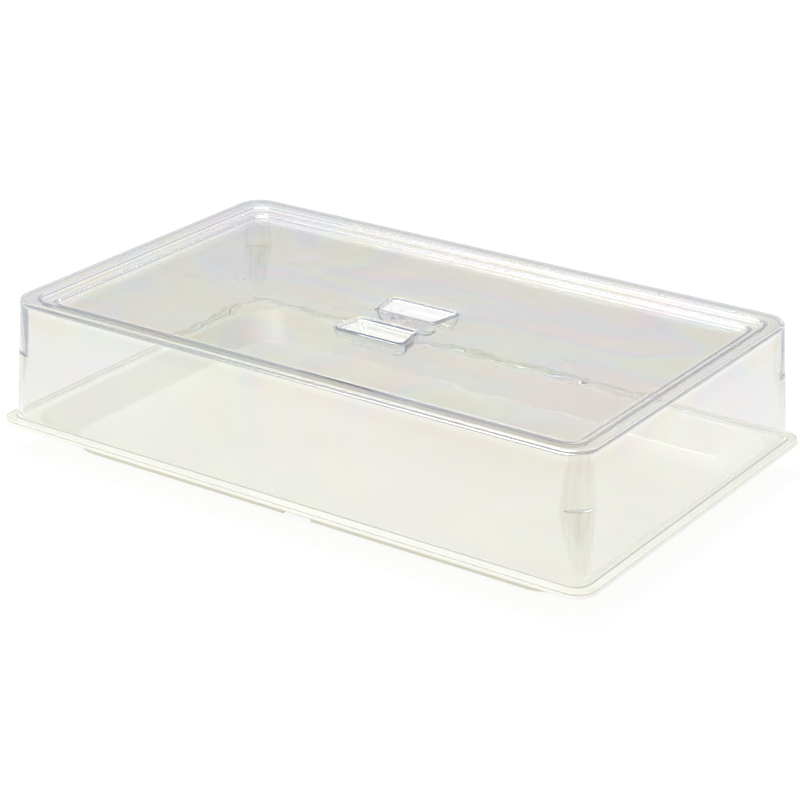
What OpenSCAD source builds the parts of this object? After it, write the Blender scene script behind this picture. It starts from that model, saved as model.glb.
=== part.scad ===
// Long shallow tray on a low foot, under a clear domed cover that lifts straight off.
// Frame: origin under the centre of the foot, +X along the long side, +Z up.

/* [Footprint] */
// Outside length of the tray's rim
rim_l = 530; // [480:1:560]
// Outside width of the tray's rim
rim_w = 325; // [300:1:350]
// Corner radius of the rim and of the cover's lip
rim_corner_r = 15; // [8:1:24]
// How far the cover's lip stays inside the rim, on each side
lip_inset = 0.4; // [0:0.1:2]

/* [Tray] */
// Height of the tray from the foot to the top of its rim
tray_h = 25; // [18:0.5:40]
// Thickness of the rim
rim_t = 2.2; // [1.6:0.1:4]
// Thickness of the basin's floor and sloping sides
tray_t = 2.5; // [2:0.1:4]
// Half-length of the basin's flat floor
floor_half_l = 229; // [200:1:235]
// Half-width of the basin's flat floor
floor_half_w = 129; // [100:1:132]
// Corner radius of the basin
basin_corner_r = 32; // [20:1:45]
// Run of the sloping sides, from the floor's edge out to the rim
slope_run = 20; // [12:0.5:21]

/* [Foot] */
// Height of the foot under the floor
foot_h = 2.7; // [1.5:0.1:6]
// Width of the foot rib
foot_t = 4; // [2.5:0.1:8]
// Length of the vent gap in the middle of each long side
vent_l = 25; // [10:1:60]

/* [Cover shell] */
// Outside length of the cover's wall where it meets the lip
wall_l = 516; // [470:1:520]
// Outside width of the cover's wall where it meets the lip
wall_w = 309.5; // [290:0.5:314]
// Height of the cover above its lip
cover_rise = 96.3; // [70:0.1:140]
// How far each wall leans in from the lip to the top
wall_draft = 3.2; // [1:0.1:8]
// Outside corner radius of the wall at the lip
wall_corner_r = 13; // [8:0.5:20]
// Outside corner radius of the wall at the top
top_corner_r = 20; // [14:0.5:30]
// Round of the top outer edge
top_edge_r = 2; // [1:0.1:5]
// Thickness of the clear shell
shell_t = 3; // [2:0.1:4]
// Thickness of the lip
lip_t = 2.2; // [1.6:0.1:4]

/* [Stepped top] */
// Width of the flat border round the top
border_w = 14.1; // [8:0.1:20]
// Depth of the outer step
outer_step = 4.1; // [2:0.1:8]
// Distance from the top's outer edge to the inner step
tread_end = 23.6; // [18:0.1:30]
// Depth of the whole recess, down to the panel
recess_d = 8.7; // [5:0.1:14]
// Corner radius of the outer step
outer_step_r = 12; // [6:0.5:18]
// Corner radius of the inner step
inner_step_r = 8; // [4:0.5:14]
// Diameter of the shallow dimple in the middle of the panel
dimple_d = 12.5; // [6:0.5:18]
// Depth of the dimple
dimple_depth = 0.8; // [0.3:0.1:1.5]

/* [Finger pockets] */
// Distance from the centre line to a pocket's grip edge
pocket_near = 11.1; // [8:0.1:16]
// Distance from the centre line to a pocket's outer edge
pocket_far = 38; // [30:0.5:50]
// Half-length of the opening at the grip edge
pocket_near_half = 24.9; // [18:0.1:34]
// Half-length of the opening at the outer edge
pocket_far_half = 30.7; // [24:0.1:40]
// Depth of a pocket below the panel
pocket_d = 12.9; // [8:0.1:20]
// How far the grip side leans in from the opening to the floor
near_lean = 2; // [1:0.1:4]
// How far the outer side and the ends lean in
far_lean = 6.5; // [3:0.1:9]
// Corner radius of the opening
pocket_r = 4; // [2:0.5:8]

/* [Stacking lugs] */
// Width of a lug's face at its ledge
lug_face_w = 19.5; // [14:0.5:30]
// Height of the ledges above the lip
ledge_h = 52.4; // [30:0.1:70]

/* [Hidden] */

EPS = 0.02;
CORNER_FN = 64;
POCKET_FN = 32;
EDGE_STEPS = 5;

ivory = [0.93, 0.92, 0.88];
clear_grey = [0.80, 0.84, 0.86, 0.45];

lip_top = tray_h + lip_t;
cover_top = lip_top + cover_rise;
top_half_l = wall_l / 2 - wall_draft;
top_half_w = wall_w / 2 - wall_draft;
panel_z = cover_top - recess_d;
tread_z = cover_top - outer_step;
pocket_floor_z = panel_z - pocket_d;
floor_z = foot_h + tray_t;
ledge_z = lip_top + ledge_h;

// Sideways offset that gives the sloping sides their thickness
side_rise = tray_h - floor_z;
slope_offset = tray_t * norm([slope_run, side_rise]) / side_rise;
// Sideways change of the slope over one thickness of floor
floor_undercut = tray_t * slope_run / side_rise;

// Inside half-size and corner radius of the wall at a share of its height
function inner_half_l(share) = wall_l / 2 - wall_draft * share - shell_t;
function inner_half_w(share) = wall_w / 2 - wall_draft * share - shell_t;
// The lug's face is an upright plane across the corner, this far out along x + y
lug_reach = inner_half_l(ledge_h / cover_rise) + inner_half_w(ledge_h / cover_rise)
            - lug_face_w / sqrt(2);

// Rounded rectangle, centred, by its half-sizes
module round_rect(half_l, half_w, r) {
    union() {
        square([2 * half_l - 2 * r, 2 * half_w], center = true);
        square([2 * half_l, 2 * half_w - 2 * r], center = true);
        for (sx = [-1, 1], sy = [-1, 1])
            translate([sx * (half_l - r), sy * (half_w - r)])
                circle(r, $fn = CORNER_FN);
    }
}

// Plate with a rounded outline, standing on height z
module plate(half_l, half_w, r, z, h) {
    translate([0, 0, z]) linear_extrude(h) round_rect(half_l, half_w, r);
}

// Thin slice of a rounded outline with its upper face at height z, for hulls
module slice(half_l, half_w, r, z) {
    plate(half_l, half_w, r, z - EPS, EPS);
}

// --- Tray ---------------------------------------------------------------

// Body under the rim, whose sides slope in to the floor
module tray_body() {
    low_half_l = floor_half_l + slope_offset - floor_undercut;
    low_half_w = floor_half_w + slope_offset - floor_undercut;
    shoulder = tray_h - rim_t;
    reach = slope_offset + slope_run - rim_t * slope_run / side_rise;
    hull() {
        slice(low_half_l, low_half_w, basin_corner_r + 1, foot_h + EPS);
        slice(floor_half_l + reach, floor_half_w + reach, basin_corner_r + 2, shoulder + EPS);
    }
}

module basin() {
    hull() {
        slice(floor_half_l, floor_half_w, basin_corner_r, floor_z + EPS);
        slice(floor_half_l + slope_run, floor_half_w + slope_run, basin_corner_r, tray_h + EPS);
    }
}

// Flat floor on the low rib that the tray stands on, with a vent gap in each long side
module tray_floor() {
    color(ivory) {
        plate(floor_half_l, floor_half_w, basin_corner_r, foot_h, tray_t);
        difference() {
            plate(floor_half_l, floor_half_w, basin_corner_r, 0, foot_h + EPS);
            plate(floor_half_l - foot_t, floor_half_w - foot_t, basin_corner_r - foot_t,
                  -1, foot_h + 2);
            translate([-vent_l / 2, -rim_w, -1]) cube([vent_l, 2 * rim_w, foot_h + 1]);
        }
    }
}

// Rim and sloping sides, a ring that meets the floor along the basin's lower outline
module tray_rim() {
    color(ivory) difference() {
        union() {
            plate(rim_l / 2, rim_w / 2, rim_corner_r, tray_h - rim_t, rim_t);
            tray_body();
        }
        basin();
        plate(floor_half_l, floor_half_w, basin_corner_r, 0, tray_h);
    }
}

// --- Cover --------------------------------------------------------------

// Outer form: four walls that lean in, and a rounded top edge
module cover_outside() {
    hull() {
        slice(wall_l / 2, wall_w / 2, wall_corner_r, lip_top);
        for (k = [0 : EDGE_STEPS]) {
            a = 90 * k / EDGE_STEPS;
            inset = top_edge_r * (1 - cos(a));
            slice(top_half_l - inset, top_half_w - inset, top_corner_r - inset,
                  cover_top - top_edge_r * (1 - sin(a)));
        }
    }
}

// Inner form, as high as the underside of the border, open below the lip
module cover_inside() {
    hull() {
        slice(inner_half_l(0), inner_half_w(0), wall_corner_r - shell_t, tray_h);
        slice(inner_half_l(1), inner_half_w(1), top_corner_r - shell_t, cover_top - shell_t);
    }
}

// Opening or skin of one finger pocket: grow is 0 for the hollow, the shell's thickness for its skin
module pocket(grow, top_z, floor_at) {
    r = pocket_r + grow;
    corners = [[pocket_near, pocket_near_half, 1, near_lean],
               [pocket_far, pocket_far_half, -1, far_lean]];
    hull() for (c = corners, side = [-1, 1]) {
        translate([side * (c[1] - pocket_r), c[0] + c[2] * pocket_r, top_z - EPS])
            cylinder(h = EPS, r = r, $fn = POCKET_FN);
        translate([side * (c[1] - pocket_r - far_lean), c[0] + c[2] * (pocket_r + c[3]), floor_at])
            cylinder(h = EPS, r = r, $fn = POCKET_FN);
    }
}

module both_pockets(grow, top_z, floor_at) {
    for (side = [0, 1]) mirror([0, side, 0]) pocket(grow, top_z, floor_at);
}

// Solid filling of the four inside corners, from the ledge up
module lugs() {
    far = lug_reach;
    for (side = [0, 1], end = [0, 1]) mirror([0, side, 0]) mirror([end, 0, 0])
        translate([0, 0, ledge_z]) linear_extrude(cover_rise)
            polygon([[far, 0], [far, far], [0, far]]);
}

// What the stepped top leaves standing under the border: the skins of the tread and panel
module stepped_skin() {
    plate(top_half_l - border_w + shell_t, top_half_w - border_w + shell_t,
          outer_step_r + shell_t, tread_z - shell_t, recess_d);
    plate(top_half_l - tread_end + shell_t, top_half_w - tread_end + shell_t,
          inner_step_r + shell_t, panel_z - shell_t, recess_d);
}

module dome_cover() {
    color(clear_grey) difference() {
        union() {
            cover_outside();
            plate(rim_l / 2 - lip_inset, rim_w / 2 - lip_inset, rim_corner_r - lip_inset,
                  tray_h, lip_t);
        }
        difference() {
            cover_inside();
            stepped_skin();
            both_pockets(shell_t, panel_z, pocket_floor_z - shell_t);
            lugs();
        }
        // The stepped recess, the pockets and the dimple, cut from above
        plate(top_half_l - border_w, top_half_w - border_w, outer_step_r, tread_z, recess_d);
        plate(top_half_l - tread_end, top_half_w - tread_end, inner_step_r, panel_z, recess_d);
        both_pockets(0, panel_z + EPS, pocket_floor_z);
        translate([0, 0, panel_z - dimple_depth]) cylinder(h = recess_d, d = dimple_d, $fn = 96);
    }
}

tray_floor();
tray_rim();
dome_cover();
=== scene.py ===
"""Clear stepped cover on an ivory tray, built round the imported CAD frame."""

import math

import bmesh
import bpy
import numpy as np
from mathutils import Euler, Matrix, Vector


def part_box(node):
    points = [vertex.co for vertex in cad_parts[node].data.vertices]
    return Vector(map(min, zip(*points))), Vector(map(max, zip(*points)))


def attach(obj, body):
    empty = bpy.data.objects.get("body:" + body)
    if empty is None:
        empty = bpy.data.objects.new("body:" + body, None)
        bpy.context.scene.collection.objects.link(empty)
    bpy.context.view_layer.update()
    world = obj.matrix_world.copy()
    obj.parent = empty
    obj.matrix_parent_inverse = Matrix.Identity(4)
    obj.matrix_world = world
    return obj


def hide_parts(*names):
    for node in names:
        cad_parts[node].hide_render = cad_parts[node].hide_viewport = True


bl_info = {
    "name": "Covered Tray",
    "version": (1, 0, 0),
    "blender": (4, 5, 0),
    "location": "3D View > Sidebar > Tray",
    "description": "Ivory tray with a foot and a clear lift-off cover with a stepped top",
    "category": "Add Mesh",
}

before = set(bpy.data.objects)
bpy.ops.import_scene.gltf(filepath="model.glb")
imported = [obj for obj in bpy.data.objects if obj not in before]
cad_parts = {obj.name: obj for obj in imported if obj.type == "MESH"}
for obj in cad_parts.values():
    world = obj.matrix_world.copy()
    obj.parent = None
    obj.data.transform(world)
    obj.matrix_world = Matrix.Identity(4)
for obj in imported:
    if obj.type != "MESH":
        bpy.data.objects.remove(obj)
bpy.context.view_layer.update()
TRAY_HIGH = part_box("tray_rim")[1]
COVER_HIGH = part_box("dome_cover")[1]

MM = 0.001
RIM_TOP = TRAY_HIGH.z
COVER_TOP = COVER_HIGH.z
QUARTER_TURN = math.pi / 2
# Points closer than this become one
WELD = 2e-6
# How far the lip's underside sits in the rim, so that no dark gap shows between them
CONTACT = 0.03 * MM
# Radius of the rounded edge of lip and rim, as a share of their thickness
EDGE_SHARE = 0.46

# Steps in each half of a corner's arc
CORNER_STEPS = 12
POCKET_STEPS = 8
# Cells along the long and short sides of the cover's rows, and across the tray's short sides
COVER_CELLS = 86, 56
TRAY_CELLS = 28
# Where the cover's rows end in the panel, and the tray's rows end in the floor
PANEL_INSET = 30 * MM
FLOOR_INSET = 40 * MM

# Grid in the middle of the panel: its pitch, half-size, and half-size of a gate mark's tile
PITCH = 1.5 * MM
BLOCK_HALF = 60 * MM
GATE_TILE = 6 * MM

# Tints of light that has passed parts of the cover
LIP_TINT = 0.975, 0.972, 0.955
BORDER_TINT = 0.95, 0.95, 0.945
# Painted shade in the lugs, partly the darker colour of thick plastic
LUG_PAINTED_SHADE = 0.80, 0.80, 0.73
# Painted light: the pockets' paler tint, standing in for the light caught in the pockets
POCKET_PAINTED_LIGHT = 1, 1, 0.995
# Painted shade: colour of the dark lines painted along the cover's edges, creases and ledges
LINE_PAINTED_SHADE = 0.16, 0.16, 0.15
THROUGH_TINT = 0.95, 0.96, 0.96
ESCAPE_TINT = 0.78, 0.80, 0.84
# Painted shade: colour of the tray's foot, darkened because its rim keeps it in the shade
FOOT_PAINTED_SHADE = 0.66, 0.65, 0.54


# --- Settings -------------------------------------------------------------


def length(name, description, default):
    """A length in metres, given in millimetres."""
    return bpy.props.FloatProperty(
        name=name, description=description, default=default * MM, unit="LENGTH", precision=5
    )


def colour(name, description, default):
    return bpy.props.FloatVectorProperty(
        name=name, description=description, default=default, subtype="COLOR", min=0, max=1
    )


def share(name, description, default):
    return bpy.props.FloatProperty(
        name=name, description=description, default=default, min=0, max=4, subtype="FACTOR"
    )


class CoverSettings(bpy.types.PropertyGroup):
    """Sizes and colour of the clear cover."""

    shell: length("Shell", "Thickness of the clear shell", 3)
    lip: length("Lip", "Thickness of the flat lip", 2.2)
    draft: length("Draft", "How far each wall leans in from lip to top", 3.2)
    wall_length: length("Wall length", "Outside length of the wall at the lip", 516)
    wall_width: length("Wall width", "Outside width of the wall at the lip", 309.5)
    wall_round: length("Wall corner", "Outside corner radius of the wall at the lip", 13)
    top_round: length("Top corner", "Outside corner radius of the wall at the top", 20)
    edge_round: length("Top edge", "Round of the top outer edge", 1.6)
    foot_round: length("Wall foot", "Hollow round between wall and lip", 1.2)
    border: length("Border", "Width of the flat border round the top", 14.1)
    outer_step: length("Outer step", "Depth of the first step down", 4.1)
    tread_end: length("Tread end", "Distance from the top edge to the inner step", 23.6)
    recess: length("Recess", "Depth of the panel below the border", 8.7)
    step_lean: length("Step lean", "How far each step leans in", 1.2)
    step_round: length("Step round", "Round of the steps' edges", 0.9)
    lug_face: length("Lug width", "Width of a corner lug at its ledge", 19.5)
    ledge: length("Ledge height", "Height of the lugs' ledges above the lip", 52.4)
    pocket_near: length("Grip edge", "Distance from centre line to a pocket's grip edge", 11.1)
    pocket_far: length("Outer edge", "Distance from centre line to a pocket's outer edge", 38)
    pocket_near_half: length("Grip half", "Half-length of a pocket at its grip edge", 24.9)
    pocket_far_half: length("Outer half", "Half-length of a pocket at its outer edge", 30.7)
    pocket_depth: length("Pocket depth", "Depth of a pocket below the panel", 12.9)
    near_lean: length("Grip lean", "Lean of the grip side", 1.2)
    far_lean: length("Outer lean", "Lean of the other sides", 2.2)
    pocket_round: length("Pocket corner", "Corner radius of a pocket's opening", 4.2)
    dimple: length("Dimple", "Radius of the round dimple in the middle", 6.2)
    dimple_depth: length("Dimple depth", "Depth of the dimple", 0.75)
    gate_place: length("Gate mark place", "Distance of a gate mark from the middle", 152)
    gate_mark: length("Gate mark", "Radius of a gate mark", 1.9)
    tint: colour("Tint", "Colour of light that has passed the shell", (0.905, 0.902, 0.893))
    stress: share("Stress colours", "Strength of the pastel stress colours in the panel", 0.5)
    waviness: share("Waviness", "Strength of the slow ripples in the panel", 0.2)
    # Strength of the painted dark lines, painted shade along the outer edges, the lip and the
    # ledges
    edge_line: share("Edge lines", "Darkness of the thin lines along the outer edges", 0.55)
    # Strength of the lugs' shade: partly the darker colour of thick plastic, partly painted shade
    lug_painted_shade: share("Lug shade", "Strength of the streaky shade in the corner lugs", 0.9)


class TraySettings(bpy.types.PropertyGroup):
    """Sizes and colour of the tray."""

    rim: length("Rim", "Thickness of the rim", 2.2)
    rim_round: length("Rim corner", "Corner radius of the rim", 15)
    wall: length("Wall", "Thickness of floor and sides", 2.5)
    foot: length("Foot", "Height of the foot", 2.7)
    foot_width: length("Foot width", "Width of the foot rib", 4)
    vent: length("Vent", "Length of the gap in the foot on a long side", 25)
    floor_half_length: length("Floor half-length", "Half-length of the flat floor", 229)
    floor_half_width: length("Floor half-width", "Half-width of the flat floor", 129)
    basin_round: length("Basin corner", "Corner radius of the basin", 32)
    slope: length("Slope", "Run of the sloping sides", 20)
    shade: colour("Colour", "Colour of the moulded plastic", (0.82, 0.81, 0.745))


class StudioSettings(bpy.types.PropertyGroup):
    """Light and camera."""

    sky: share("Sky", "Strength of the pale surroundings", 1.0)
    ambient: share("Ambient", "Brightness of the surroundings", 0.80)
    front: share("Front", "Brightness in front, behind the camera", 1.1)
    back: share("Back", "Brightness of the dim part behind the object", 0.40)
    camera_place: bpy.props.FloatVectorProperty(
        name="Camera", description="Where the camera stands", subtype="TRANSLATION",
        default=(0.9858, -1.4029, 0.7773),
    )
    look_at: bpy.props.FloatVectorProperty(
        name="Look at", description="Point in the middle of the view", subtype="TRANSLATION",
        default=(-0.0275, 0.0427, 0.0272),
    )
    lens: bpy.props.FloatProperty(
        name="Lens", description="Focal length on a 36 mm sensor", default=109.6, min=20, max=300
    )
    roll: bpy.props.FloatProperty(
        name="Roll", description="Turn of the camera about its view", default=-0.00185,
        unit="ROTATION",
    )


# --- Outlines and profiles --------------------------------------------------


def outline(corners, radius, arc, straights):
    """Closed row of points round a polygon with rounded corners, counter-clockwise.

    Each side runs from the middle of one corner's arc to the middle of the next. A point is its
    corner's centre plus radius * (cos a, sin a); a turns on the arcs, and along a straight the
    centre moves instead, by the shares in straights, which start at 0 and stay below 1.
    """
    corners = np.asarray(corners, float)
    ahead = np.roll(corners, -1, 0) - corners
    ahead /= np.linalg.norm(ahead, axis=1)[:, None]
    normal = np.stack([ahead[:, 1], -ahead[:, 0]], 1)
    before = np.roll(normal, 1, 0)
    meet = (normal * before).sum(1)
    centre = corners - radius * (normal + before) / (1 + meet)[:, None]
    heading = np.arctan2(normal[:, 1], normal[:, 0])
    turn = np.arccos(np.clip(meet, -1, 1)) / 2
    swing = np.arange(arc) / arc
    rows = []
    for k, along in enumerate(straights):
        after = (k + 1) % len(corners)
        angle = np.concatenate([
            heading[k] - turn[k] * (1 - swing),
            np.full(len(along), heading[k]),
            heading[k] + turn[after] * swing,
        ])
        moved = np.concatenate([np.zeros(arc), along, np.ones(arc)])[:, None]
        middle = centre[k] * (1 - moved) + centre[after] * moved
        rows.append(middle + radius * np.stack([np.cos(angle), np.sin(angle)], 1))
    return np.concatenate(rows)


def rectangle(half_length, half_width):
    """Corners of a centred rectangle, counter-clockwise from the low left one."""
    signs = np.array([[-1, -1], [1, -1], [1, 1], [-1, 1]])
    return signs * [half_length, half_width]


def level(row, z):
    """A row of plan points at height z, which may be one number or one for each point."""
    return np.column_stack([row, np.broadcast_to(z, len(row))])


def even(count):
    """Shares 0, 1/count, ... below 1."""
    return np.arange(count) / count


def soft_profile(points, radii, steps=5, guard=0.35 * MM):
    """Polyline with each inner corner replaced by an arc, and guard points beside the arcs.

    An arc of radius r touches both legs at r * tan(turn / 2) from its corner. A leg long enough
    gets a guard point near each end, which keeps the shading of the flats even.
    """
    points = np.asarray(points, float)
    legs = np.diff(points, axis=0)
    lengths = np.linalg.norm(legs, axis=1)
    along = legs / lengths[:, None]
    turns = np.arccos(np.clip((along[:-1] * along[1:]).sum(1), -1, 1))
    reach = np.concatenate([[0], np.asarray(radii) * np.tan(turns / 2), [0]])
    room = lengths - reach[:-1] - reach[1:] > 2.5 * guard
    t = np.linspace(0, 1, steps + 1)[:, None]
    made = [points[:1]]
    for k, (turn, radius) in enumerate(zip(turns, radii), 1):
        bisector = along[k] - along[k - 1]
        centre = points[k] + bisector / np.linalg.norm(bisector) * radius / math.cos(turn / 2)
        first = points[k] - along[k - 1] * reach[k]
        last = points[k] + along[k] * reach[k]
        if room[k - 1]:
            made.append((first - along[k - 1] * guard)[None])
        blend = np.sin((1 - t) * turn) * (first - centre) + np.sin(t * turn) * (last - centre)
        made.append(centre + blend / math.sin(turn))
        if room[k]:
            made.append((last + along[k] * guard)[None])
    made.append(points[-1:])
    return np.concatenate(made)


# --- Meshes from rows of points ---------------------------------------------


class Sheets:
    """Collects grids of points and their faces, and welds them into one closed mesh."""

    def __init__(self):
        self.points, self.quads, self.fans, self.count = [], [], [], 0
        self.marks = {"edge_line": [], "pocket": []}

    def add(self, points, **marks):
        """Puts an array of points in and returns the index of each, in the same shape.

        marks are how far a point belongs to a painted dark line, painted shade along an edge, or to
        a pocket.
        """
        flat = np.asarray(points, float).reshape(-1, 3)
        for name, values in self.marks.items():
            values.append(np.broadcast_to(marks.get(name, 0.0), np.shape(points)[:-1]).ravel())
        index = self.count + np.arange(len(flat)).reshape(np.shape(points)[:-1])
        self.points.append(flat)
        self.count += len(flat)
        return index

    def tube(self, rows, **marks):
        """Quads between neighbouring closed rows, an array of rows x points x 3."""
        index = self.add(rows, **marks)
        ring = np.concatenate([index, index[:, :1]], 1)
        self.faces(ring)

    def faces(self, index):
        """One quad for each cell of a grid of indices."""
        quads = np.stack([index[:-1, :-1], index[:-1, 1:], index[1:, 1:], index[1:, :-1]], -1)
        self.quads.append(quads.reshape(-1, 4))

    def cap(self, row, middle, **marks):
        """Triangles from a closed row to one point."""
        index = self.add(row, **marks)
        pole = self.add(np.asarray(middle, float)[None], **marks)
        after = np.roll(index, -1)
        self.fans.append(np.stack([index, after, np.broadcast_to(pole, index.shape)], 1))

    def block(self, xs, ys, z, tiles):
        """Flat grid on the lines xs and ys at height z, with cells left out for each tile.

        A tile is (x0, x1, y0, y1, fill): fill gets the tile's edge, a closed row of points from
        its low left corner, counter-clockwise. The block's own edge is returned the same way.
        """
        heights = np.full((len(xs), len(ys)), z)
        points = np.stack([*np.meshgrid(xs, ys, indexing="ij"), heights], -1)
        index = self.add(points)
        quads = np.stack([index[:-1, :-1], index[1:, :-1], index[1:, 1:], index[:-1, 1:]], -1)
        kept = np.ones(quads.shape[:2], bool)
        for x0, x1, y0, y1, fill in tiles:
            i0, i1 = np.searchsorted(xs, [x0 - WELD, x1 - WELD])
            j0, j1 = np.searchsorted(ys, [y0 - WELD, y1 - WELD])
            kept[i0:i1, j0:j1] = False
            fill(around(points[i0:i1 + 1, j0:j1 + 1]))
        self.quads.append(quads[kept])
        return around(points)

    def mesh(self, name):
        """The welded mesh: points closer than WELD become one, and all faces point outwards."""
        points = np.concatenate(self.points)
        keys = np.round(points / WELD).astype(np.int64)
        _, first, one = np.unique(keys, axis=0, return_index=True, return_inverse=True)
        one = one.ravel()
        quads, fans = one[np.concatenate(self.quads)], np.zeros((0, 3), int)
        if self.fans:
            fans = one[np.concatenate(self.fans)]
        flat = [np.sort(quads, 1), np.sort(fans, 1)]
        quads = quads[(np.diff(flat[0], axis=1) > 0).all(1)]
        fans = fans[(np.diff(flat[1], axis=1) > 0).all(1)]
        made = bpy.data.meshes.new(name)
        made.from_pydata(points[first], [], quads.tolist() + fans.tolist())
        work = bmesh.new()
        work.from_mesh(made)
        bmesh.ops.recalc_face_normals(work, faces=work.faces)
        open_edges = sum(not e.is_manifold for e in work.edges)
        work.to_mesh(made)
        work.free()
        made.shade_smooth()
        for mark, values in self.marks.items():
            made.attributes.new(mark, "FLOAT", "POINT").data.foreach_set(
                "value", np.concatenate(values)[first])
        made.validate()
        if open_edges:
            raise RuntimeError(f"{name} has {open_edges} open edges")
        return made


def around(grid):
    """Edge of a grid of points as a closed row: low side, right side, high side, left side."""
    return np.concatenate([grid[:-1, 0], grid[-1, :-1], grid[:0:-1, -1], grid[0, :0:-1]])


def disc(sheets, rings, floor_z):
    """Tile filler: circles of (radius, height) round the tile's middle, closed by a pole."""

    def fill(edge):
        middle = (edge.min(0) + edge.max(0)) / 2
        angle = np.arange(len(edge)) / len(edge) * 2 * math.pi - 0.75 * math.pi
        unit = np.stack([np.cos(angle), np.sin(angle), np.zeros(len(edge))], 1)
        rows = [edge]
        for radius, z in rings:
            rows.append([middle[0], middle[1], 0] + unit * radius + [0, 0, z])
        sheets.tube(np.stack(rows))
        sheets.cap(rows[-1], [middle[0], middle[1], floor_z])

    return fill


def object_from(mesh, material, body, slot, *nodes):
    """Object at the origin that rides a body and stands for CAD nodes."""
    made = bpy.data.objects.new(mesh.name, mesh)
    bpy.context.scene.collection.objects.link(made)
    mesh.materials.append(material)
    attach(made, body)
    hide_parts(*nodes)
    return made


# --- Materials --------------------------------------------------------------


def node_tree(name):
    material = bpy.data.materials.new(name)
    material.use_nodes = True
    tree = material.node_tree
    tree.nodes.clear()
    return material, tree


def add_node(tree, kind, inputs=None, **values):
    """A node with its settings and inputs; an input that is a socket is linked."""
    made = tree.nodes.new(kind)
    for key, value in values.items():
        setattr(made, key, value)
    for key, value in (inputs or {}).items():
        if isinstance(value, bpy.types.NodeSocket):
            tree.links.new(value, made.inputs[key])
        else:
            made.inputs[key].default_value = value
    return made


def colour_ramp(tree, factor, stops):
    ramp = add_node(tree, "ShaderNodeValToRGB", {"Fac": factor})
    elements = ramp.color_ramp.elements
    while len(elements) < len(stops):
        elements.new(0.5)
    for element, (place, value) in zip(elements, stops):
        element.position = place
        element.color = (*value, 1)
    return ramp.outputs["Color"]


def maths(tree, operation, *values):
    """Result of a maths node; each value is a number or a socket."""
    return add_node(tree, "ShaderNodeMath", dict(enumerate(values)), operation=operation).outputs[0]


def ranged(tree, value, low, high, to_low=0.0, to_high=1.0, **values):
    """A value moved from the range low..high to to_low..to_high, and held at its ends."""
    made = add_node(tree, "ShaderNodeMapRange",
                    {"Value": value, "From Min": low, "From Max": high,
                     "To Min": to_low, "To Max": to_high}, **values)
    return made.outputs["Result"]


def mixed(tree, factor, first, second, blend="MIX"):
    """Two colours mixed by a factor; each is a socket or three numbers."""
    pair = {name: value if isinstance(value, bpy.types.NodeSocket) else (*value, 1)
            for name, value in (("A", first), ("B", second))}
    made = add_node(tree, "ShaderNodeMix", {"Factor": factor, **pair},
                    data_type="RGBA", blend_type=blend)
    return made.outputs["Result"]


def either(tree, factor, first, second):
    """Two shaders mixed by a factor."""
    return add_node(tree, "ShaderNodeMixShader", {0: factor, 1: first, 2: second}).outputs[0]


def lug_painted_shade(tree, settings, place, parts):
    """Painted shade in the corner lugs: streaks that run down the lug and taper off under its
    ledge.

    It starts where |x| + |y| passes the lug's face. That limit moves outwards by 0.06 of the height
    over the ledge, and by 0.3 of the height under it. Over the ledge it is partly the darker colour
    of thick plastic and partly painted shade for the lug's refraction. The tongue under the ledge
    is painted shade for the ledge's shadow and reflection.
    """
    shape = CoverShape(settings)
    x, y, z = (parts.outputs[axis] for axis in "XYZ")
    out = maths(tree, "ADD", maths(tree, "ABSOLUTE", x), maths(tree, "ABSOLUTE", y))
    span, start = 50 * MM, 0.5 * MM
    below = ranged(tree, z, shape.ledge_z, shape.ledge_z - span, start, start + 0.3 * span)
    above = ranged(tree, z, shape.ledge_z, shape.ledge_z + span, start, start + 0.06 * span)
    past = maths(tree, "SUBTRACT", out, maths(tree, "MAXIMUM", below, above))
    inside = ranged(tree, past, shape.lug_reach, shape.lug_reach + 1.5 * MM)
    stretched = add_node(tree, "ShaderNodeMapping", {"Vector": place, "Scale": (330, 330, 5)})
    streak = add_node(tree, "ShaderNodeTexNoise",
                      {"Vector": stretched.outputs[0], "Scale": 1, "Detail": 1})
    streaked = ranged(tree, streak.outputs["Fac"], 0.3, 0.7,
                      0.3 * settings.lug_painted_shade, settings.lug_painted_shade)
    return maths(tree, "MULTIPLY", inside, streaked)


def stress_colours(tree, place):
    """A soft rainbow, read along bands that a slow noise bends."""
    bent = add_node(tree, "ShaderNodeMapping", {"Vector": place, "Scale": (5.5, 9, 7)})
    band = add_node(tree, "ShaderNodeTexNoise",
                    {"Vector": bent.outputs[0], "Scale": 1, "Detail": 1.5, "Distortion": 1.2})
    return colour_ramp(tree, band.outputs["Fac"], [
        (0.25, (1, 1, 1)), (0.35, (1, 0.90, 0.74)), (0.42, (0.93, 1, 0.86)),
        (0.48, (0.84, 0.90, 1)), (0.55, (1, 0.84, 0.92)), (0.64, (1, 0.95, 0.80)),
        (0.74, (1, 1, 1)),
    ])


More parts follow.
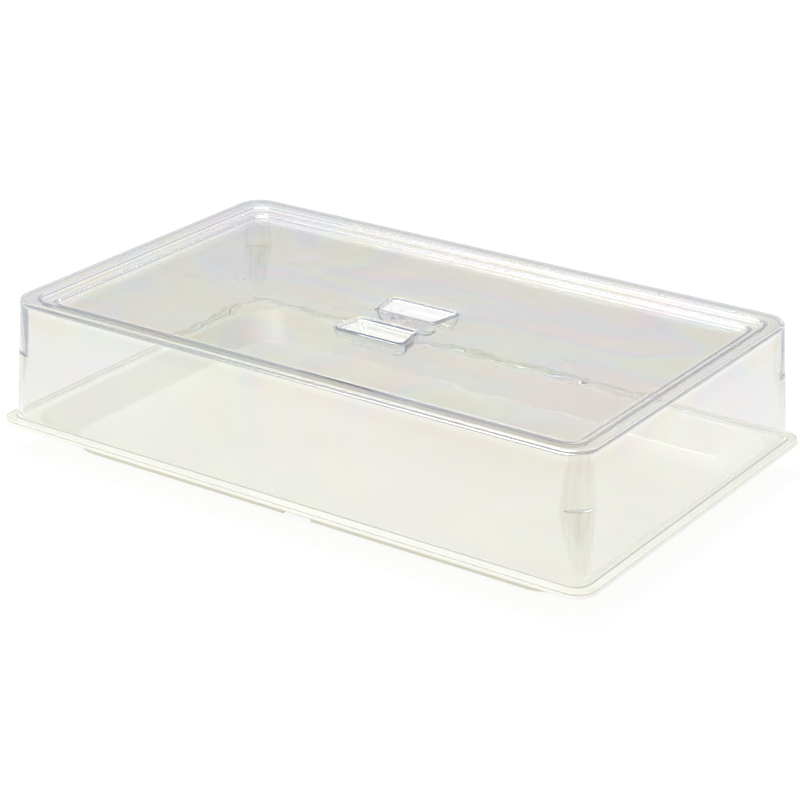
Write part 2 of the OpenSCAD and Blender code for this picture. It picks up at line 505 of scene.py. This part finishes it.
def cover_colour(tree, settings, place, parts):
    """Tint of light that has passed the cover.

    Height tells the lip, the walls with the panel, and the steps with the border apart, and each
    has its own tint. The stress colours are multiplied in above the lip, in full at the panel's
    height and by a part elsewhere, and then the lugs' painted shade. Last, the attribute pocket
    blends in the paler tint of the pockets, painted light for the light they catch, and the edge
    line attribute blends in the painted dark lines, painted shade along edges, creases and ledges.
    """
    z = parts.outputs["Z"]
    lip_top, panel = RIM_TOP + settings.lip, COVER_TOP - settings.recess
    above_lip = ranged(tree, z, lip_top + 0.2 * MM, lip_top + 1.5 * MM)
    in_steps = ranged(tree, z, panel + 0.5 * MM, panel + 2 * MM)
    upper = mixed(tree, in_steps, settings.tint, BORDER_TINT)
    plain = mixed(tree, above_lip, LIP_TINT, upper)
    in_panel = colour_ramp(tree, z, [
        (panel - 14 * MM, (0.3,) * 3), (panel - 5 * MM, (1,) * 3),
        (panel + 0.5 * MM, (1,) * 3), (panel + 1.5 * MM, (0.4,) * 3),
    ])
    strength = maths(tree, "MULTIPLY", maths(tree, "MULTIPLY", above_lip, in_panel),
                     settings.stress)
    stressed = mixed(tree, strength, plain, stress_colours(tree, place), "MULTIPLY")
    # Lugs: streaks of painted shade, partly for the thick plastic
    shaded = mixed(tree, lug_painted_shade(tree, settings, place, parts), stressed, LUG_PAINTED_SHADE, "MULTIPLY")
    pocket, line = (add_node(tree, "ShaderNodeAttribute", attribute_name=name).outputs["Fac"]
                    for name in ("pocket", "edge_line"))
    # Painted light: the pockets are made paler
    pale = mixed(tree, pocket, shaded, POCKET_PAINTED_LIGHT)
    # Painted shade: the dark lines along edges, creases and ledges
    return mixed(tree, maths(tree, "MULTIPLY", line, settings.edge_line), pale, LINE_PAINTED_SHADE)


def panel_ripples(tree, settings, place, height):
    """Slow ripples on the level faces at the panel's height and below.

    They are a noise in four dimensions, the fourth of which runs with height, so that the
    panel's two faces ripple each in its own way.
    """
    slow = add_node(tree, "ShaderNodeTexNoise",
                    {"Vector": place, "W": maths(tree, "MULTIPLY", height, 300.0),
                     "Scale": 42, "Detail": 1}, noise_dimensions="4D")
    normal = add_node(tree, "ShaderNodeNewGeometry").outputs["Normal"]
    facing = add_node(tree, "ShaderNodeSeparateXYZ", {"Vector": normal})
    is_level = maths(tree, "GREATER_THAN", maths(tree, "ABSOLUTE", facing.outputs["Z"]), 0.97)
    is_low = maths(tree, "LESS_THAN", height, COVER_TOP - settings.recess + 1 * MM)
    swell = maths(tree, "MULTIPLY", slow.outputs["Fac"], maths(tree, "MULTIPLY", is_level, is_low))
    bump = add_node(tree, "ShaderNodeBump",
                    {"Strength": settings.waviness, "Distance": 0.0005, "Height": swell})
    return bump.outputs["Normal"]


def clear_plastic(settings):
    """Clear moulded plastic: smooth tinted glass with slow ripples.

    Light from lamps and from matt surfaces passes straight through, as through a thin wall. So
    does a ray that has been mirrored twice, which would be caught inside the edges otherwise.
    """
    material, tree = node_tree("clear_plastic")
    place = add_node(tree, "ShaderNodeTexCoord").outputs["Object"]
    parts = add_node(tree, "ShaderNodeSeparateXYZ", {"Vector": place})
    glass = add_node(tree, "ShaderNodeBsdfPrincipled",
                     {"Base Color": cover_colour(tree, settings, place, parts),
                      "Roughness": 0.0, "IOR": 1.585, "Transmission Weight": 1.0,
                      "Normal": panel_ripples(tree, settings, place, parts.outputs["Z"])})
    through, escape = (
        add_node(tree, "ShaderNodeBsdfTransparent", {"Color": (*tint, 1)}).outputs[0]
        for tint in (THROUGH_TINT, ESCAPE_TINT)
    )
    rays = add_node(tree, "ShaderNodeLightPath").outputs
    caught = maths(tree, "GREATER_THAN", rays["Glossy Depth"], 1.5)
    surface = either(tree, caught, glass.outputs[0], escape)
    surface = either(tree, rays["Is Diffuse Ray"], surface, through)
    surface = either(tree, rays["Is Shadow Ray"], surface, through)
    add_node(tree, "ShaderNodeOutputMaterial", {"Surface": surface})
    return material


def ivory_plastic(settings):
    """Glossy ivory plastic: even colour with a faint cloud, and a very fine skin.

    Just above the foot, the colour turns to a painted shade, darker and yellower, standing in for
    the shade under the rim.
    """
    material, tree = node_tree("ivory_plastic")
    place = add_node(tree, "ShaderNodeTexCoord").outputs["Object"]
    cloud = add_node(tree, "ShaderNodeTexNoise", {"Vector": place, "Scale": 11, "Detail": 3})
    clouded = colour_ramp(tree, cloud.outputs["Fac"], [
        (0.3, tuple(c * 0.975 for c in settings.shade)),
        (0.7, tuple(min(1, c * 1.015) for c in settings.shade)),
    ])
    height = add_node(tree, "ShaderNodeSeparateXYZ", {"Vector": place}).outputs["Z"]
    # Painted shade on the foot and just above it, for the shade under the rim
    foot_shade_mask = ranged(tree, height, 4.6 * MM, 3 * MM)
    skin = add_node(tree, "ShaderNodeTexNoise", {"Vector": place, "Scale": 900, "Detail": 2})
    fine = add_node(tree, "ShaderNodeBump",
                    {"Strength": 0.05, "Distance": 0.0003, "Height": skin.outputs["Fac"]})
    plastic = add_node(tree, "ShaderNodeBsdfPrincipled",
                       {"Base Color": mixed(tree, foot_shade_mask, clouded, FOOT_PAINTED_SHADE),
                        "Roughness": ranged(tree, cloud.outputs["Fac"], 0.0, 1.0, 0.16, 0.26),
                        "IOR": 1.49, "Subsurface Weight": 0.08, "Subsurface Scale": 0.004,
                        "Normal": fine.outputs["Normal"]})
    add_node(tree, "ShaderNodeOutputMaterial", {"Surface": plastic.outputs[0]})
    return material


def floor_paint():
    """Pale matt floor that glows a little, so that it stays nearly white in the shade."""
    material, tree = node_tree("floor_paint")
    matt = add_node(tree, "ShaderNodeBsdfDiffuse", {"Color": (0.18, 0.18, 0.18, 1)})
    glow = add_node(tree, "ShaderNodeEmission", {"Color": (1, 1, 1, 1), "Strength": 0.825})
    both = add_node(tree, "ShaderNodeAddShader", {0: matt.outputs[0], 1: glow.outputs[0]})
    add_node(tree, "ShaderNodeOutputMaterial", {"Surface": both.outputs[0]})
    return material


# --- The cover --------------------------------------------------------------


class CoverShape:
    """Works out the cover's rows of points from its settings."""

    def __init__(self, s):
        self.s = s
        self.low = RIM_TOP - CONTACT
        self.lip_top = RIM_TOP + s.lip
        self.tread = COVER_TOP - s.outer_step
        self.panel = COVER_TOP - s.recess
        self.top_half = np.array([s.wall_length / 2 - s.draft, s.wall_width / 2 - s.draft])
        self.lip_half = np.array([COVER_HIGH.x, COVER_HIGH.y])
        lip_out = self.top_half - self.lip_half
        self.lip_inset = lip_out[0]
        self.lip_extra = lip_out[0] - lip_out[1]
        rise = COVER_TOP - self.lip_top
        lean = s.draft * s.ledge / rise
        inner = self.top_half + s.draft - lean - s.shell
        self.lug_reach = inner.sum() - s.lug_face / math.sqrt(2)
        self.ledge_z = self.lip_top + s.ledge
        self.straights = [even(cells) for cells in COVER_CELLS * 2]

    def row(self, inset, z, radius, extra=0.0):
        half = self.top_half - inset + [0, extra]
        return level(outline(rectangle(*half), radius, CORNER_STEPS, self.straights), z)

    def outer_rows(self):
        """Outside, from panel to the lip's underside.

        The profile is a polyline of (inset from the top's outline, height) with rounded corners.
        The corner radius of a row is read from its inset: it falls from the top edge inwards
        with the steps, and falls again down the wall. The second value is each row's share in the
        painted dark lines, painted shade at the wall's foot, along the top edge and along the lip's
        edge. It falls evenly to 0 at a width from the lines' places in the profile, so that the
        flats beside them stay clear.
        """
        s, lip, low = self.s, self.lip_inset, self.low
        profile = soft_profile(
            [(PANEL_INSET, self.panel), (s.tread_end + s.step_lean, self.panel),
             (s.tread_end, self.tread), (s.border + s.step_lean, self.tread),
             (s.border, COVER_TOP), (0, COVER_TOP),
             (-s.draft, self.lip_top), (lip, self.lip_top), (lip, low), (-s.draft, low)],
            [*[s.step_round] * 4, s.edge_round, s.foot_round, *[s.lip * EDGE_SHARE] * 2],
        )
        radius = np.interp(
            profile[:, 0],
            [lip, -s.draft, 0, s.border, s.tread_end + s.step_lean],
            [14.6 * MM, s.wall_round, s.top_round, 12 * MM, 8 * MM],
        )
        extra = np.interp(profile[:, 0], [lip, -s.draft - s.foot_round], [self.lip_extra, 0])
        # Painted shade: dark lines at the crease of the wall's foot, on both sides of the rounded
        # top edge and along the lip's outer edge
        dark = [((-s.draft - 0.3 * s.foot_round, self.lip_top + 0.3 * s.foot_round), 1 * MM, 1.7),
                ((0, COVER_TOP - s.edge_round), 0.34 * MM, 1.4),
                ((s.edge_round, COVER_TOP), 0.34 * MM, 1.1),
                ((lip, self.lip_top - s.lip / 2), 0.6 * MM, 1.0)]
        line = np.max([strength * np.maximum(1 - np.linalg.norm(profile - place, axis=1) / width, 0)
                       for place, width, strength in dark], 0)
        rows = [self.row(o, z, r, e) for (o, z), r, e in zip(profile, radius, extra)]
        return np.stack(rows), line[:, None]

    def inner_rows(self):
        """Inside, from the lip's underside up to the panel's underside.

        The profile is worked out as outside, one shell's thickness in. From the ledge up, a point
        whose |x| + |y| is beyond the lug's reach is pulled straight back on to the lug's upright
        face, by half of what it is over in each direction. The second value is each point's share
        in the painted dark lines along the ledges, painted shade at each ledge's edges.
        """
        s = self.s
        low_inset, top_inset = s.shell - s.draft, s.shell
        under_top = COVER_TOP - s.shell
        under_tread, under_panel = self.tread - s.shell, self.panel - s.shell
        step_in = s.border - s.shell + 0.25 * MM
        panel_in = s.tread_end - s.shell + 0.25 * MM
        rise = under_top - RIM_TOP
        ledge_inset = top_inset - s.draft * (under_top - self.ledge_z) / rise
        ledge_rise = np.array([-1.5, -0.3, 0, 0.05, 0.2, 0.5, 1.5]) * MM
        pulled = np.array([0, 0, 0.03, 0.9, 0.98, 1, 1])
        lower = [(-s.draft, self.low), (low_inset, self.low), (ledge_inset, self.ledge_z)]
        lower = soft_profile(lower, [0.5 * MM], 4)
        upper = soft_profile(
            [(ledge_inset, self.ledge_z), (top_inset, under_top), (step_in, under_top),
             (step_in + s.step_lean, under_tread), (panel_in, under_tread),
             (panel_in + s.step_lean, under_panel), (PANEL_INSET, under_panel)],
            [1.8 * MM, *[1.5 * MM] * 4],
        )
        shelf_inset = ledge_inset + ledge_rise * s.draft / rise
        shelf = np.stack([shelf_inset, self.ledge_z + ledge_rise], 1)
        profile = np.concatenate([lower[:-1], shelf, upper[1:]])
        pull = np.concatenate([np.zeros(len(lower) - 1), pulled, np.ones(len(upper) - 1)])
        radius = np.interp(
            profile[:, 0],
            [-s.draft, low_inset, top_inset, step_in, panel_in, PANEL_INSET],
            [s.wall_round, s.wall_round - s.shell, s.top_round - s.shell,
             15 * MM, 11 * MM, 10 * MM],
        )
        rows = [self.row(o, z, r) for (o, z), r in zip(profile, radius)]
        line = np.zeros(len(profile))
        # Painted shade: dark lines just under, at and just over each ledge, where the lugs begin
        line[len(lower) - 1:][:len(pulled)] = [0, 0.6, 1.5, 0, 1.2, 0.8, 0]
        past = [np.abs(row[:, :2]).sum(1) - self.lug_reach > 1 * MM for row in rows]
        return np.stack([self.lugged(row, k) for row, k in zip(rows, pull)]), line[:, None] * past

    def lugged(self, row, pull):
        """Pulls a row's corners back on to the lugs' faces, with a soft start over about 1 mm."""
        over = np.abs(row[:, 0]) + np.abs(row[:, 1]) - self.lug_reach
        soft = 0.7 * MM
        over = np.where(over > -12 * MM, (over + np.sqrt(over * over + soft * soft)) / 2, 0)
        row = row.copy()
        row[:, 0] -= np.sign(row[:, 0]) * over * pull / 2
        row[:, 1] -= np.sign(row[:, 1]) * over * pull / 2
        return row


def pocket_filler(sheets, s, side, top_z, grow):
    """Tile filler for one finger pocket, whose grow is 0 above the shell and its thickness below.

    Rows lie at chosen depths. At a depth, the grip side has moved in by its own lean and by its
    small floor round, and the other sides by theirs and by a large round; both rounds are
    quarter circles that end level on the floor.
    """
    depth = s.pocket_depth
    mouth = 0.7 * MM if grow == 0 else 1.4 * MM
    near_round, far_round = 3 * MM + grow, 7 * MM + grow
    swing = np.linspace(0, QUARTER_TURN, 6)
    curl = np.linspace(0, QUARTER_TURN, 13)
    depths = np.concatenate([
        mouth * (1 - np.cos(swing)),
        np.linspace(mouth, depth - far_round, 4)[1:-1] if depth - far_round > 2 * mouth else [],
        depth - far_round * (1 - np.sin(curl)),
    ])
    depths = np.unique(np.round(depths, 8))

    def inset(z, run, floor_round):
        lip = np.sqrt(max(mouth**2 - max(mouth - z, 0) ** 2, 0)) - mouth
        into = max(z - (depth - floor_round), 0)
        return run * z / depth + lip + floor_round - np.sqrt(max(floor_round**2 - into**2, 0))

    straights = [even(cells - 2 * POCKET_STEPS) for cells in edge_counts(grow) * 2]

    def fill(edge):
        rows = [edge]
        for z in depths:
            near, far = inset(z, s.near_lean, near_round), inset(z, s.far_lean, far_round)
            y0, y1 = s.pocket_near - grow + near, s.pocket_far + grow - far
            x0, x1 = s.pocket_near_half + grow - far, s.pocket_far_half + grow - far
            corners = np.array([[-x0, y0], [x0, y0], [x1, y1], [-x1, y1]])
            if side < 0:
                corners = (corners * [1, -1])[[3, 2, 1, 0]]
            radius = max(s.pocket_round + grow - far * 0.35, 2 * MM)
            rows.append(level(outline(corners, radius, POCKET_STEPS, straights), top_z - z))
        middle = rows[-1].mean(0)
        for scale in (0.93, 0.5):
            rows.append(middle + (rows[-1] - middle) * scale)
        # The mark pocket makes the pocket's walls and floor paler, painted light for the light the
        # pockets catch
        sheets.tube(np.stack(rows), pocket=(np.arange(len(rows)) > 3)[:, None] * 1.0)
        sheets.cap(rows[-1], middle, pocket=1.0)

    return fill


def strip_half(grow):
    """Half-width of the strip between the pockets' tiles, which is narrower under the shell."""
    return (6 if grow == 0 else 4) * PITCH


def edge_counts(grow):
    """Cells along and across a pocket's tile."""
    return round(2 * BLOCK_HALF / PITCH), round((BLOCK_HALF - strip_half(grow)) / PITCH)


def block_lines(s):
    """Grid lines of the panel's middle block: fine round the pockets and gate marks only."""
    fine = np.arange(0, BLOCK_HALF + WELD, PITCH)
    low, high = s.gate_place - GATE_TILE, s.gate_place + GATE_TILE
    half = np.concatenate([
        fine, np.linspace(BLOCK_HALF, low, 7)[1:],
        np.linspace(low, high, 9)[1:], [high + 13 * MM],
    ])
    count = round(BLOCK_HALF / PITCH)
    ys = np.arange(-count, count + 1) * PITCH
    return np.concatenate([-half[:0:-1], half]), ys


def cover_mesh(s):
    """The cover: rows outside and inside, and between them the panel's block with its tiles."""
    shape, sheets = CoverShape(s), Sheets()
    (outer, outer_painted_lines), (inner, inner_painted_lines) = shape.outer_rows(), shape.inner_rows()
    xs, ys = block_lines(s)
    gate = s.gate_mark
    for top_z, grow, rows in ((shape.panel, 0, outer), (shape.panel - s.shell, s.shell, inner)):
        strip = strip_half(grow)
        tiles = [
            (-BLOCK_HALF, BLOCK_HALF, *ends, pocket_filler(sheets, s, side, top_z, grow))
            for side, ends in ((1, (strip, BLOCK_HALF)), (-1, (-BLOCK_HALF, -strip)))
        ]
        if grow == 0:
            dimple_z = top_z - s.dimple_depth
            rings = [(s.dimple + 0.5 * MM, top_z), (s.dimple, top_z - 0.06 * MM),
                     (s.dimple - 0.1 * MM, dimple_z + 0.1 * MM),
                     (s.dimple - 0.35 * MM, dimple_z), (s.dimple * 0.5, dimple_z)]
            tiles.append((-strip, strip, -strip, strip, disc(sheets, rings, dimple_z)))
            nub = [(gate * 1.5, top_z), (gate, top_z - 0.25 * MM), (gate * 0.8, top_z - 0.3 * MM),
                   (gate * 0.45, top_z + 0.05 * MM), (gate * 0.3, top_z + 0.1 * MM)]
            for end in (-1, 1):
                middle = end * s.gate_place
                tiles.append((middle - GATE_TILE, middle + GATE_TILE, -GATE_TILE, GATE_TILE,
                              disc(sheets, nub, top_z + 0.12 * MM)))
        edge = sheets.block(xs, ys, top_z, tiles)
        rim_row = rows[0] if grow == 0 else rows[-1]
        sheets.tube(np.stack([edge, rim_row]))
    sheets.tube(outer, edge_line=outer_painted_lines)
    sheets.tube(inner, edge_line=inner_painted_lines)
    return sheets.mesh("clear_cover")


# --- The tray ---------------------------------------------------------------


def tray_mesh(s):
    """Tray as one closed profile of (half-length past the floor's edge, height), swept round.

    It runs over the floor, up the slope, across the rim, round its edge, back under it, down the
    slope's outside, round the foot and in under the floor. In the vents, the foot's points are
    lifted to the floor's underside.
    """
    sheets = Sheets()
    floor_z = s.foot + s.wall
    rise = RIM_TOP - floor_z
    offset = s.wall * math.hypot(s.slope, rise) / rise
    rim_x, rim_y = TRAY_HIGH.x - s.floor_half_length, TRAY_HIGH.y - s.floor_half_width
    under = RIM_TOP - s.rim
    out_low = offset - s.wall * s.slope / rise
    out_high = offset + s.slope * (under - floor_z) / rise
    foot_in = -s.foot_width
    profile = soft_profile(
        [(-FLOOR_INSET, floor_z), (0, floor_z), (s.slope, RIM_TOP), (rim_x, RIM_TOP),
         (rim_x, under), (out_high, under), (out_low, s.foot + 0.15 * MM),
         (0.15 * MM, s.foot - 0.3 * MM), (0, 0), (foot_in, 0), (foot_in - 0.4 * MM, s.foot),
         (-FLOOR_INSET, s.foot)],
        [5 * MM, 2 * MM, *[s.rim * EDGE_SHARE] * 2, 2 * MM, 0.4 * MM, 0.2 * MM, 0.7 * MM,
         0.7 * MM, 0.5 * MM],
        guard=0.2 * MM,
    )
    outside = np.arange(len(profile)) > np.argmax(profile[:, 0])
    radius = np.where(
        outside,
        np.interp(profile[:, 0], [-FLOOR_INSET, foot_in, 0, out_high, rim_x],
                  [6 * MM, s.basin_round - s.foot_width, s.basin_round, s.basin_round + 2 * MM,
                   s.rim_round]),
        np.interp(profile[:, 0], [-FLOOR_INSET, 0, s.slope + 2 * MM, rim_x],
                  [6 * MM, s.basin_round, s.basin_round, s.rim_round]),
    )
    extra = np.interp(profile[:, 0], [s.slope + 2 * MM, rim_x], [0, rim_y - rim_x])
    half_vent, wall = s.vent / 2, 0.35 * MM
    straight_half = s.floor_half_length - s.basin_round
    marks = np.concatenate([
        np.linspace(-straight_half, -half_vent - 4 * MM, 16), [-half_vent - wall, -half_vent],
        np.linspace(-half_vent, half_vent, 6)[1:-1], [half_vent, half_vent + wall],
        np.linspace(half_vent + 4 * MM, straight_half, 16),
    ])
    along = ((marks + straight_half) / (2 * straight_half))[:-1]
    straights = [along, even(TRAY_CELLS)] * 2
    rows = []
    for k, ((out, z), r, e) in enumerate(zip(profile, radius, extra)):
        half = np.array([s.floor_half_length + out, s.floor_half_width + out + e])
        row = level(outline(rectangle(*half), r, CORNER_STEPS, straights), z)
        if outside[k] and z < s.foot:
            vent = np.abs(row[:, 0]) < half_vent + wall / 2
            row[:, 2] = np.where(vent, s.foot - 0.01 * MM * (s.foot - z) / s.foot, z)
        rows.append(row)
    sheets.tube(np.stack(rows))
    for row, z in ((rows[0], floor_z), (rows[-1], s.foot)):
        inner = row * [0.5, 0.5, 0] + [0, 0, z]
        sheets.tube(np.stack([row, inner]))
        sheets.cap(inner, [0, 0, z])
    return sheets.mesh("ivory_tray")


# --- Operators --------------------------------------------------------------


class TRAY_OT_cover(bpy.types.Operator):
    """Make the clear cover"""

    bl_idname = "tray.cover"
    bl_label = "Clear Cover"

    def execute(self, context):
        s = context.scene.cover_settings
        object_from(cover_mesh(s), clear_plastic(s), "cover", "cover_plastic", "dome_cover")
        return {"FINISHED"}


class TRAY_OT_tray(bpy.types.Operator):
    """Make the ivory tray with its rim and foot"""

    bl_idname = "tray.tray"
    bl_label = "Ivory Tray"

    def execute(self, context):
        s = context.scene.tray_settings
        object_from(tray_mesh(s), ivory_plastic(s), "tray", "tray_plastic",
                    "tray_floor", "tray_rim")
        return {"FINISHED"}


class TRAY_OT_studio(bpy.types.Operator):
    """Make the floor, the lights and the camera"""

    bl_idname = "tray.studio"
    bl_label = "Studio"

    def execute(self, context):
        studio(context.scene, context.scene.studio_settings)
        return {"FINISHED"}


def area_light(name, place, target, size, power):
    """Rectangular lamp that stands at a place and looks at a target."""
    lamp = bpy.data.lights.new(name, "AREA")
    lamp.shape, lamp.size, lamp.size_y, lamp.energy = "RECTANGLE", *size, power
    made = bpy.data.objects.new(name, lamp)
    made.location = place
    made.rotation_euler = (Vector(target) - Vector(place)).to_track_quat("-Z", "Y").to_euler()
    bpy.context.scene.collection.objects.link(made)


def studio(scene, s):
    """Pale floor, soft lights, pale surroundings and the camera."""
    ground = bpy.data.meshes.new("floor")
    ground.from_pydata(level(rectangle(8, 8), 0).tolist(), [], [(0, 1, 2, 3)])
    ground.materials.append(floor_paint())
    floor = bpy.data.objects.new("floor", ground)
    scene.collection.objects.link(floor)

    world = bpy.data.worlds.new("surroundings")
    world.use_nodes = True
    tree = world.node_tree
    tree.nodes.clear()
    way = add_node(tree, "ShaderNodeTexCoord").outputs["Generated"]
    grey = (s.ambient,) * 3
    # Round each axis, the grey turns to another between two angles from it
    for axis, core, edge, value in (
        ((0.55, -0.80, 0.24), 20, 80, s.front),
        ((-0.48, 0.79, 0.37), 12, 40, s.back),
    ):
        near = add_node(tree, "ShaderNodeVectorMath", {0: way, 1: axis}, operation="DOT_PRODUCT")
        within = ranged(tree, near.outputs["Value"], math.cos(math.radians(edge)),
                        math.cos(math.radians(core)), interpolation_type="SMOOTHSTEP")
        grey = mixed(tree, within, grey, (value,) * 3)
    back = add_node(tree, "ShaderNodeBackground", {"Color": grey, "Strength": s.sky})
    add_node(tree, "ShaderNodeOutputWorld", {"Surface": back.outputs[0]})
    scene.world = world

    area_light("top_softbox", (-0.7, 0.4, 2.35), (0, 0, 0), (1.6, 1.2), 34)
    area_light("side_softbox", (-1.1, -1.55, 0.75), (0, 0, 0.1), (1.3, 0.9), 4)
    scene.view_settings.view_transform = "Standard"

    camera = bpy.data.cameras.new("camera")
    camera.lens, camera.sensor_width = s.lens, 36
    eye = bpy.data.objects.new("camera", camera)
    place, target = Vector(s.camera_place), Vector(s.look_at)
    eye.location = place
    turn = (target - place).to_track_quat("-Z", "Y")
    eye.rotation_euler = (turn @ Euler((0, 0, s.roll)).to_quaternion()).to_euler()
    scene.collection.objects.link(eye)
    scene.camera = eye


class TRAY_PT_panel(bpy.types.Panel):
    """Sidebar panel with the tray's pieces"""

    bl_idname = "TRAY_PT_panel"
    bl_label = "Covered Tray"
    bl_space_type = "VIEW_3D"
    bl_region_type = "UI"
    bl_category = "Tray"

    def draw(self, context):
        for operator in OPERATORS:
            self.layout.operator(operator.bl_idname)
        for name in SETTINGS:
            group = getattr(context.scene, name)
            box = self.layout.box()
            for key in group.__annotations__:
                box.prop(group, key)


OPERATORS = (TRAY_OT_studio, TRAY_OT_tray, TRAY_OT_cover)
SETTINGS = {
    "cover_settings": CoverSettings,
    "tray_settings": TraySettings,
    "studio_settings": StudioSettings,
}


def register():
    for made in (*SETTINGS.values(), *OPERATORS, TRAY_PT_panel):
        bpy.utils.register_class(made)
    for name, group in SETTINGS.items():
        setattr(bpy.types.Scene, name, bpy.props.PointerProperty(type=group))


def unregister():
    for name in SETTINGS:
        delattr(bpy.types.Scene, name)
    for made in (TRAY_PT_panel, *OPERATORS, *SETTINGS.values()):
        bpy.utils.unregister_class(made)


def main():
    register()
    bpy.ops.tray.studio()
    bpy.ops.tray.tray()
    bpy.ops.tray.cover()


if __name__ == "__main__":
    main()
